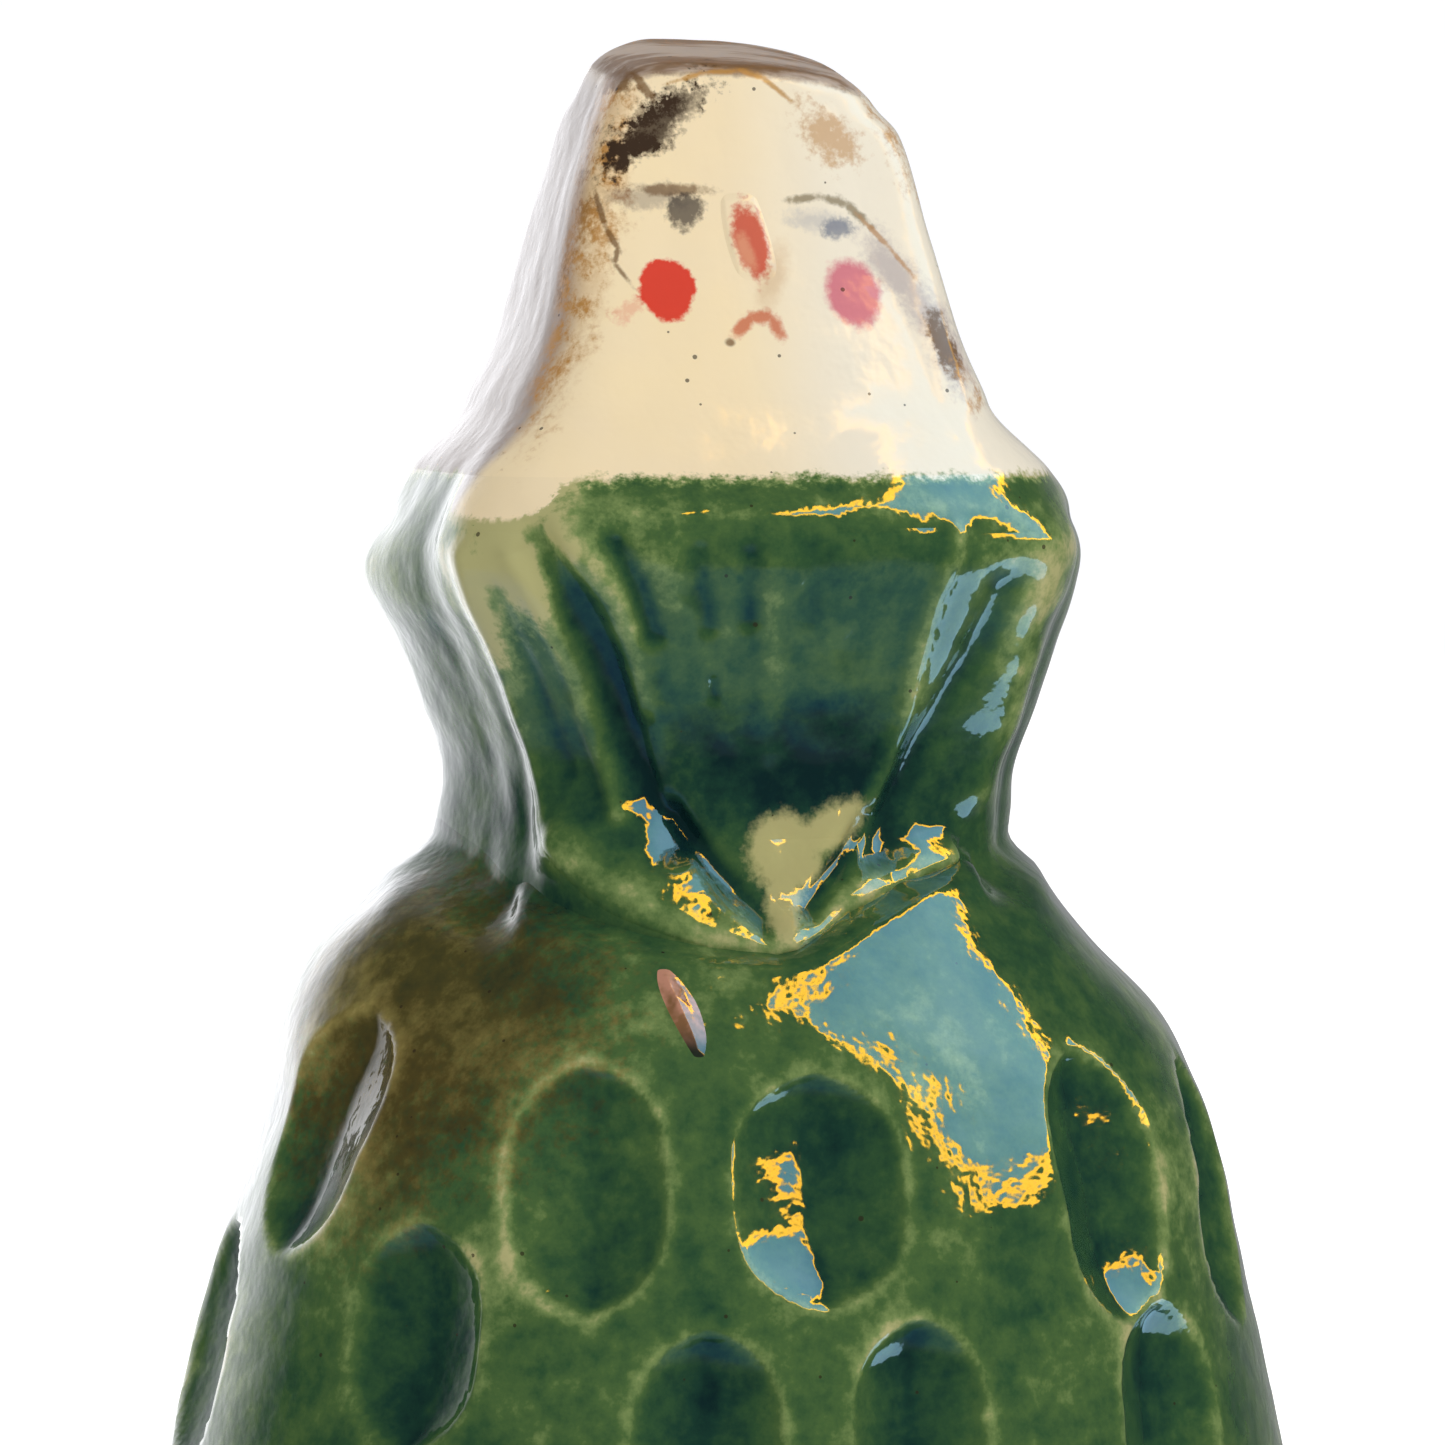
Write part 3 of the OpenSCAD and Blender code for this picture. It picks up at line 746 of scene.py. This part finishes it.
# Glazes: one transparent green over cream clay, thin and yellowish on the ridges and dark where it
# pools, and a clear glaze over the painted face. Places are in millimetres, as for the clay.
class Glaze(Nodes):
    """Short way to lay out one glaze"""

    def __init__(self, name):
        self.material = bpy.data.materials.new(name)
        self.material.use_nodes = True
        super().__init__(self.material.node_tree)
        self.shader = self.tree.nodes["Principled BSDF"]
        self.place = self.node("ShaderNodeTexCoord").outputs["Object"]
        split = self.node("ShaderNodeSeparateXYZ", {0: self.place})
        self.x, self.y, self.z = (self.math("MULTIPLY", split.outputs[k], 1 / MM) for k in range(3))
        self.front = self.node("ShaderNodeCombineXYZ", {0: self.x, 1: self.z}).outputs[0]
        self.facing = self.ease(self.y, -1.0, 2.0, 1.0, 0.0)
        ragged = self.sum(self.noise(900.0, 4.0, 0.7, shift=2.0),
                          (self.noise(3200.0, 2.0, 0.6, shift=4.0), 0.7))
        self.ragged = self.math("MULTIPLY", self.math("SUBTRACT", ragged, 0.85), 2.0)

    def noise(self, scale, detail=3.0, rough=0.55, shift=0.0, stretch=(1, 1, 1)):
        place = self.node("ShaderNodeMapping", {"Vector": self.place, "Location": (shift, shift, shift),
                                                "Scale": stretch}).outputs[0]
        return self.node("ShaderNodeTexNoise", {"Vector": place, "Scale": scale, "Detail": detail,
                                                "Roughness": rough}).outputs[0]

    def mark(self, name):
        return self.node("ShaderNodeAttribute", attribute_name=name).outputs["Fac"]

    def dab(self, x, z, long, wide, lean=0.0, soft=0.3, rough=0.5):
        """One touch of the brush on the front: 1 inside an oval and 0 outside it"""
        oval = self.node("ShaderNodeMapping", {
            "Vector": self.front, "Location": (x, z, 0.0), "Rotation": (0.0, 0.0, math.radians(lean)),
            "Scale": (long, wide, 1.0)}, vector_type="TEXTURE")
        length = self.node("ShaderNodeVectorMath", {0: oval.outputs[0]}, operation="LENGTH")
        away_from = self.sum(length.outputs["Value"], (self.ragged, rough))
        return self.math("MULTIPLY", self.ease(away_from, 1.0 - soft, 1.0 + soft, 1.0, 0.0), self.facing)

    def line(self, course, width, soft=0.5, rough=0.5):
        """One drawn line on the front through (x, z) places"""
        found = 0.0
        for (x_a, z_a), (x_b, z_b) in zip(course, course[1:]):
            long = math.hypot(x_b - x_a, z_b - z_a) / 2 + width / 3
            lean = math.degrees(math.atan2(z_b - z_a, x_b - x_a))
            touch = self.dab((x_a + x_b) / 2, (z_a + z_b) / 2, long * 1.15, width / 2, lean, soft, rough)
            found = self.math("MAXIMUM", found, touch)
        return found

    def painted(self, colour, mask, strength, pigment):
        return self.mix(self.math("MULTIPLY", mask, strength, True), colour, (*pigment, 1.0))


def green_over(g, thin_glaze_and_shade):
    """Green glaze colour from its thickness; the last argument takes away from the thickness, and below
    zero it darkens the green, as painted shade
    """
    depth = g.sum(0.44, (g.mark("glaze_broad"), 0.12), (g.mark("glaze_fine"), 0.11),
                  (g.math("SUBTRACT", g.noise(170.0, 4.0, 0.62), 0.5), 0.95),
                  (g.math("SUBTRACT", g.noise(800.0, 4.0, 0.7, shift=3.0), 0.5), 0.60), (thin_glaze_and_shade, -1.0))
    return depth, g.ramp(depth, (
        (0.02, (0.46, 0.44, 0.20)), (0.17, (0.19, 0.27, 0.090)), (0.33, (0.072, 0.140, 0.042)),
        (0.52, (0.032, 0.088, 0.034)), (0.72, (0.011, 0.047, 0.030)), (0.92, (0.004, 0.021, 0.022)),
    ))


def specked(g, colour):
    """Burnt specks and pits in the glaze"""
    specks = g.node("ShaderNodeTexVoronoi", {"Vector": g.place, "Scale": 620.0}, feature="F1")
    size = g.math("MULTIPLY", g.noise(500.0, 1.0, shift=7.0), 0.12)
    near = g.math("LESS_THAN", specks.outputs["Distance"], g.math("SUBTRACT", size, 0.012))
    return g.mix(g.math("MULTIPLY", near, 0.75), colour, (0.03, 0.02, 0.012, 1.0))


GLAZE_ROUGH = 0.06
GLAZE_IOR = 1.52
RIPPLE = 0.10
RIPPLE_HEIGHT = 0.0006


def glossy(g, colour, rough=GLAZE_ROUGH):
    """Finish of a glaze: glassy, with slow ripples and fine ones on them"""
    g.feed(g.shader.inputs["Base Color"], colour)
    g.shader.inputs["IOR"].default_value = GLAZE_IOR
    g.feed(g.shader.inputs["Roughness"], rough)
    height = g.sum(g.noise(650.0, 2.0, 0.5, shift=9.0), (g.noise(2300.0, 1.0, 0.5, shift=5.0), 0.16))
    bump = g.node("ShaderNodeBump", {"Height": height, "Strength": RIPPLE, "Distance": RIPPLE_HEIGHT})
    g.feed(g.shader.inputs["Normal"], bump.outputs[0])
    return g.material


robe_paint = Glaze("robe_glaze")
robe_depth, robe_green = green_over(robe_paint, 0.0)
olive = robe_paint.ramp(robe_depth, (
    (0.10, (0.30, 0.23, 0.07)), (0.45, (0.085, 0.062, 0.016)), (0.75, (0.028, 0.034, 0.014))))
shoulder = robe_paint.dab(-15.5, 48.0, 6.5, 5.5, 20, 0.5, 1.0)
upper_arm = robe_paint.dab(-17.0, 43.0, 2.2, 4.5, -15, 0.6, 0.8)
for mask, strength in ((shoulder, 0.85), (upper_arm, 0.7)):
    robe_green = robe_paint.mix(robe_paint.math("MULTIPLY", mask, strength), robe_green, olive)
robe.data.materials.append(glossy(robe_paint, specked(robe_paint, robe_green)))
slab.data.materials.append(robe_paint.material)

# The scarf and the head share one painted glaze: green below the jaw and cream above it.
face = Glaze("scarf_and_face_glaze")
# 1 on the front, which leans back towards the crown, and 0 on the sides and the back
lean_back = face.math("MULTIPLY", face.math("SUBTRACT", 88.0, face.math("MAXIMUM", face.z, 72.0)), 0.28)
behind_face = face.math("ADD", face.y, lean_back)
face.facing = face.ease(behind_face, -2.4, -0.8, 1.0, 0.0)
# the green ends in a ragged line at the jaw, and is thin along it, on the left and over the chest
corner = face.dab(-11.6, 70.6, 3.6, 1.9, 62, 0.55, 0.7)
rise = face.sum(face.z, (face.ragged, 0.55), (corner, 1.9))
line_thin = face.ease(rise, 70.4, 71.0, 0.0, 0.36)
left_thin = face.math("MULTIPLY", face.dab(-12.0, 66.5, 5.5, 1.9, 72, 0.7, 0.8), 0.24)
chest_bare = face.dab(0.9, 54.4, 1.7, 1.7, 15, 0.25, 0.3)
for spot in ((0.6, 52.6, 1.6, 0.75, 80), (2.9, 55.4, 2.0, 0.9, 30)):
    chest_bare = face.math("MAXIMUM", chest_bare, face.dab(*spot, 0.35, 0.4))
thin_glaze_and_shade = face.math("ADD", face.math("ADD", line_thin, left_thin), face.math("MULTIPLY", chest_bare, 0.25))
# painted shade: the green is darkened in the hollow of the throat and just under the chin, where the jaw
# overhangs
throat_shade = face.dab(0.8, 58.3, 4.8, 2.4, 0, 0.7, 0.4)
under_chin_shade = face.dab(1.0, 68.3, 9.5, 1.5, 0, 0.5, 0.6)
thin_glaze_and_shade = face.sum(thin_glaze_and_shade, (throat_shade, -0.30), (under_chin_shade, -0.16))
_, scarf_green = green_over(face, thin_glaze_and_shade)
cream = face.mix(face.noise(220.0, 3.0), (0.95, 0.77, 0.46, 1.0), (0.90, 0.75, 0.52, 1.0))
# paler and cooler towards the right of the face: a painted reflection, the veil of sheen over that side
cream = face.mix(face.ease(face.x, -2.0, 5.0), cream, (0.90, 0.83, 0.68, 1.0))
mottle = face.ease(face.noise(700.0, 5.0, 0.75, shift=6.0), 0.42, 0.62)
wash = face.math("MULTIPLY", mottle, 0.8)

# 1 on the flat of the crown, which follows its lean and its falls
over_crown = face.sum(face.z, (face.y, -CROWN_LEAN[1]), (face.x, -CROWN_LEAN[0]), (face.ragged, 0.15))
past_left = face.math("MAXIMUM", face.math("SUBTRACT", CROWN_LEFT, face.x), 0.0)
past_right = face.math("MAXIMUM", face.math("SUBTRACT", face.x, CROWN_RIGHT), 0.0)
for past, fall in ((past_left, CROWN_LEFT_FALL), (past_right, CROWN_RIGHT_FALL)):
    over_crown = face.sum(over_crown, (face.math("MULTIPLY", past, past), fall))
crown = face.ease(over_crown, HEAD_TOP - 0.55, HEAD_TOP - 0.2)
streaks = face.ease(face.noise(500.0, 4.0, 0.7, shift=8.0, stretch=(0.25, 1.0, 1.0)), 0.45, 0.60)

# 1 on the left side of the head, whose cream is painted grey as shade
shaded_flank = face.math("MULTIPLY", face.ease(behind_face, -3.4, -2.0), face.ease(face.x, -6.2, -4.8, 1.0, 0.0))

TAN, BROWN, DARK = (0.53, 0.27, 0.08), (0.17, 0.085, 0.030), (0.050, 0.030, 0.018)
# the third grey here is painted shade, for the left side of the head
GREY, PLUM, SHADE_GREY = (0.17, 0.15, 0.15), (0.30, 0.24, 0.30), (0.30, 0.26, 0.27)
RED, PINK, ORANGE = (0.72, 0.035, 0.018), (0.66, 0.16, 0.22), (0.60, 0.14, 0.06)
for mask, strength, pigment in (
    # painted shade: the left side of the head greyed
    (shaded_flank, 0.85, SHADE_GREY),
    # wash of thin brown down the left of the face, and over the crown
    (face.dab(-6.6, 85.2, 4.4, 1.5, 74, 0.5, 0.9), face.math("ADD", wash, 0.35), TAN),
    (face.dab(-7.5, 83.2, 3.6, 0.8, 79, 0.6, 1.2), face.math("ADD", wash, 0.2), BROWN),
    (face.dab(-8.4, 78.0, 4.6, 1.3, 66, 0.6, 0.9), face.math("ADD", wash, 0.3), TAN),
    (face.dab(-9.6, 76.6, 4.2, 0.5, 66, 0.5, 1.4), wash, BROWN),
    (crown, 0.85, (0.34, 0.27, 0.24)),
    (crown, face.math("MULTIPLY", streaks, 0.8), BROWN),
    (face.dab(0.5, 88.95, 5.6, 0.16, -3, 0.8, 1.2), 0.8, BROWN),
    # hair: a long dab on the brow, a spot at the corner and a streak down each side
    (face.dab(-3.95, 86.35, 2.95, 1.0, 41, 0.30, 1.1), face.math("ADD", wash, 0.45), DARK),
    (face.dab(-4.1, 86.1, 2.3, 0.6, 43, 0.4, 0.8), 0.85, DARK),
    (face.dab(-4.35, 88.0, 0.75, 0.22, -55, 0.4, 0.8), 0.8, BROWN),
    (face.dab(-5.8, 88.3, 1.0, 0.62, 10, 0.4, 1.0), 0.85, BROWN),
    (face.line(((-8.6, 79.6), (-9.9, 76.9), (-11.2, 74.2)), 1.3, 0.4, 0.9), 0.95, BROWN),
    (face.line(((-6.6, 83.3), (-6.3, 81.8), (-5.8, 80.9), (-5.95, 80.2), (-5.4, 79.4)), 0.22, 0.6, 0.9),
     0.8, BROWN),
    (face.dab(4.0, 85.8, 1.4, 0.8, -40, 0.6, 1.5), 0.65, TAN),
    (face.dab(6.6, 86.3, 2.8, 0.5, -66, 0.6, 1.6), wash, TAN),
    (face.line(((6.0, 80.6), (7.2, 79.2), (8.6, 77.2), (9.4, 75.2)), 1.5, 0.7, 0.9), 0.5, PLUM),
    (face.line(((8.3, 77.6), (9.1, 75.6)), 0.95, 0.4, 1.0), 0.9, BROWN),
    (face.dab(9.7, 74.6, 1.0, 0.55, -50, 0.6, 1.4), wash, TAN),
    (face.line(((-3.1, 88.2), (-1.5, 88.65), (0.0, 88.7), (1.0, 88.4), (2.1, 87.5)), 0.24, 0.6, 0.9),
     0.8, (0.50, 0.25, 0.05)),
    # left eye
    (face.dab(-4.4, 83.1, 1.5, 0.55, 2, 0.6, 1.0), 0.45, GREY),
    (face.dab(-3.2, 83.45, 1.45, 0.26, 0, 0.5, 0.8), 0.75, BROWN),
    (face.dab(-2.75, 82.55, 0.85, 0.66, 12, 0.35, 0.8), 0.85, (0.075, 0.060, 0.050)),
    # right eye: a thin arched brow and a pale grey eye
    (face.line(((2.1, 83.0), (3.4, 83.15), (4.6, 82.8), (5.35, 82.1)), 0.36, 0.6, 0.9),
     0.75, (0.20, 0.15, 0.07)),
    (face.line(((5.3, 82.1), (6.45, 80.9), (7.5, 79.6)), 0.20, 0.6, 0.9), 0.7, (0.50, 0.26, 0.10)),
    (face.dab(3.1, 82.1, 1.2, 0.42, -5, 0.7, 0.9), 0.40, (0.32, 0.34, 0.40)),
    (face.dab(4.1, 81.75, 0.62, 0.40, 0, 0.5, 0.9), 0.75, (0.16, 0.19, 0.26)),
    # nose, cheeks and mouth
    # painted shade on the right of the nose, towards its lower end
    (face.dab(1.0, 79.6, 1.3, 0.5, 70, 0.7, 0.5), 0.35, TAN),
    (face.dab(0.08, 81.25, 1.75, 0.72, -78, 0.25, 0.45), 0.92, (0.62, 0.085, 0.045)),
    (face.dab(-0.15, 80.7, 0.75, 0.28, -70, 0.6, 0.8), 0.55, (0.80, 0.42, 0.24)),
    (face.dab(-3.78, 79.05, 1.24, 1.34, 0, 0.10, 0.22), 0.96, RED),
    (face.dab(-5.4, 78.2, 0.75, 0.35, 30, 0.6, 1.6), 0.30, RED),
    # the right cheek: red paint, made pinker as a painted reflection of the sheen over that side
    (face.dab(4.62, 78.9, 1.50, 1.20, -68, 0.22, 0.22), 0.90, PINK),
    (face.line(((-0.75, 77.2), (-0.1, 77.85), (0.75, 77.8), (1.15, 77.1)), 0.55, 0.5, 0.7), 0.85, ORANGE),
    (face.dab(-1.15, 76.75, 0.22, 0.16, 0, 0.5, 0.4), 0.8, BROWN),
):
    cream = face.painted(cream, mask, strength, pigment)
bare = face.ease(rise, 70.75, 71.15)
figure = face.mix(bare, scarf_green, cream)
figure = face.mix(face.math("MULTIPLY", chest_bare, 0.85), figure, (0.50, 0.45, 0.20, 1.0))
figure = specked(face, figure)
painted_clay = face.math("MULTIPLY", bare, face.ease(face.z, 69.0, 71.5))
dull = face.math("MULTIPLY", crown, bare)
figure_glaze = glossy(face, figure, face.sum(GLAZE_ROUGH, (painted_clay, 0.07), (dull, 0.35)))
for piece in (hood, bib, band_left, band_right, chest):
    piece.data.materials.append(figure_glaze)

# The clear glaze over the head and the nose is thinner, and mirrors less.
CREAM_MIRROR = 0.16
cream_glaze = figure_glaze.copy()
cream_glaze.name = "face_glaze"
cream_glaze.node_tree.nodes["Principled BSDF"].inputs["Specular IOR Level"].default_value = CREAM_MIRROR
for piece in (head, nose):
    piece.data.materials.append(cream_glaze)

# Tail: the thin end of the scarf, where the glaze has run off and left the clay pink.
drop = Glaze("tail_glaze")
drop_colour = drop.mix(drop.ease(drop.noise(700.0), 0.4, 0.6),
                       (0.56, 0.27, 0.18, 1.0), (0.26, 0.13, 0.06, 1.0))
drop_colour = drop.mix(drop.ease(drop.z, 46.4, 47.8), (0.020, 0.026, 0.018, 1.0), drop_colour)
tail.data.materials.append(glossy(drop, drop_colour))

# Bare clay inside: the coils and the tube that nobody sees once the figure is closed.
clay = Glaze("bare_clay")
clay.feed(clay.shader.inputs["Base Color"],
          clay.mix(clay.noise(500.0), (0.52, 0.33, 0.2, 1.0), (0.66, 0.46, 0.31, 1.0)))
clay.shader.inputs["Roughness"].default_value = 0.85
for name in ("base_coil", "neck_tube", "neck_coil", "head_coil"):
    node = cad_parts[name]
    node.data.materials.clear()
    node.data.materials.append(clay.material)
